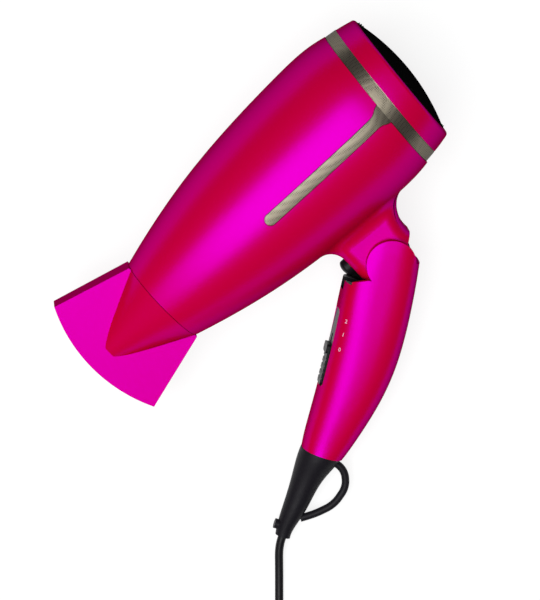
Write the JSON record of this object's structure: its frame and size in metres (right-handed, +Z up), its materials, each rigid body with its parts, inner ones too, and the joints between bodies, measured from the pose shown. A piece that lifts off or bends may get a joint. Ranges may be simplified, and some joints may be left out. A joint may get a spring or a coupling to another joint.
{
  "type": "hair dryer",
  "caption": "Folding travel hair dryer with a removable concentrator nozzle, sliding switch, cool-shot button, hanging loop, coiled mains cord and plug, lying on its side.",
  "frame": {"origin": "on the table under the middle of the dryer's box, without the cord", "axes": "+X back along the barrel, +Y from the handle's side towards the barrel's top, +Z up from the table the dryer lies on"},
  "size_m": [0.2823, 0.3548, 0.0859],
  "materials": {
    "body_magenta": "satin metallic lacquer",
    "trim_champagne": "satin champagne",
    "black_plastic": "fine satin",
    "soft_black": "soft satin",
    "cord_black": "satin",
    "steel": "plated",
    "bronze": "sintered",
    "mica": "pressed mica",
    "coil_wire": "oxidised",
    "inner_plastic": "plain"
  },
  "bodies": {
    "handle": {"handle_left": "body_magenta", "handle_right": "body_magenta", "hinge_pin": "steel", "switch_panel": "black_plastic", "switch_body": "inner_plastic", "capacitor": "inner_plastic", "lead_wires": "inner_plastic", "handle_screws": "steel", "cord_clamp": "inner_plastic", "strain_relief": "soft_black", "cord_inner": "cord_black", "hanging_loop": "soft_black", "cord_lead": "cord_black", "cord_coil": "cord_black", "cord_tail": "cord_black", "cord_tie": "soft_black", "plug_body": "soft_black", "plug_prongs": "steel"},
    "slider": {"switch_slider": "black_plastic"},
    "barrel": {"housing_left": "body_magenta", "housing_right": "body_magenta", "trim_band": "trim_champagne", "rear_cap": "body_magenta", "rear_grille": "black_plastic", "outlet_tube": "black_plastic", "outlet_grille": "black_plastic", "fan_shroud": "black_plastic", "motor_can": "steel", "motor_end_cap": "inner_plastic", "motor_bushes": "bronze", "mica_tube": "mica", "mica_cross": "mica", "heating_coil": "coil_wire", "thermostat": "steel", "thermal_fuse": "coil_wire", "rectifier_board": "inner_plastic", "button_switch": "inner_plastic", "neck_screw": "steel"},
    "button": {"cool_shot_button": "black_plastic"},
    "fan": {"impeller": "black_plastic", "rotor_shaft": "steel", "armature": "steel"},
    "nozzle_ring": {"nozzle_ring": "black_plastic"},
    "nozzle": {"nozzle_shell": "body_magenta"}
  },
  "joints": [
    {"name": "handle_fold", "type": "hinge", "parent": "handle", "child": "barrel", "pos_m": [0.03693, -0.01546, 0.02742], "axis": [-0.0384, -0.2191, 0.975], "range_deg": [-44, 28]},
    {"name": "switch_slide", "type": "slide", "parent": "handle", "child": "slider", "axis": [0.8343, 0.53, 0.1519], "range_m": [0, 0.0128]},
    {"name": "button_press", "type": "slide", "parent": "barrel", "child": "button", "axis": [0.9992, 0, 0.0393], "range_m": [0, 0.002], "stiffness_N_per_m": 500, "springref_m": -0.002},
    {"name": "fan_spin", "type": "hinge", "parent": "barrel", "child": "fan", "pos_m": [0.06919, 0.04845, 0.04305], "axis": [0.9992, 0, 0.0393], "continuous": true},
    {"name": "nozzle_pull", "type": "slide", "parent": "barrel", "child": "nozzle_ring", "axis": [-0.9992, 0, -0.0393], "range_m": [0, 0.01]},
    {"name": "nozzle_turn", "type": "hinge", "parent": "nozzle_ring", "child": "nozzle", "pos_m": [-0.06371, 0.04845, 0.03782], "axis": [-0.9992, 0, -0.0393], "continuous": true}
  ]
}
